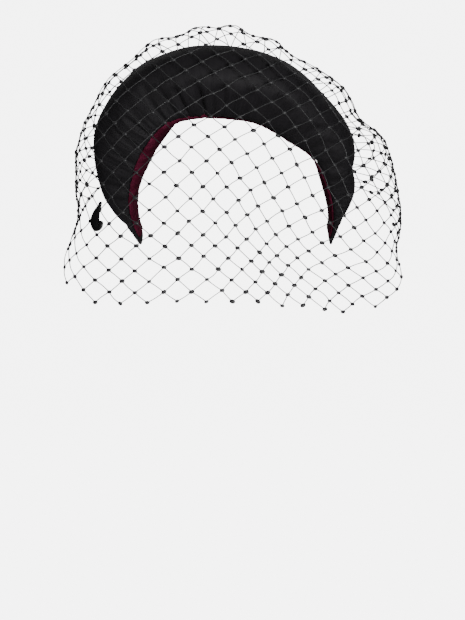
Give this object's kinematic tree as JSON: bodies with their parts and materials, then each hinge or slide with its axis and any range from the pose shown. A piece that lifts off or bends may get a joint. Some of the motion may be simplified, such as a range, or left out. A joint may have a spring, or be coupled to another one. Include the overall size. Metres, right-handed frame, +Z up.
{
  "type": "halo headband hat with a birdcage veil",
  "caption": "Padded black satin halo headband with a burgundy lining and a black diamond net veil that falls over the face.",
  "frame": {"origin": "middle of the band's inner wall at the crown, where the hat sits on the head", "axes": "+Z up, the front of the hat faces -Y, +X to the right of somebody who looks at the front"},
  "size_m": [0.2732, 0.1782, 0.2326],
  "materials": {
    "black_satin": "ribbed satin, soft sheen",
    "burgundy_ribbon": "satin ribbon, soft sheen",
    "black_net": "matt knotted thread",
    "black_tab": "glossy curled ribbon"
  },
  "bodies": {
    "root": {"halo_pad": "black_satin", "inner_band": "burgundy_ribbon", "veil_net": "black_net", "veil_tab": "black_tab"}
  },
  "joints": []
}
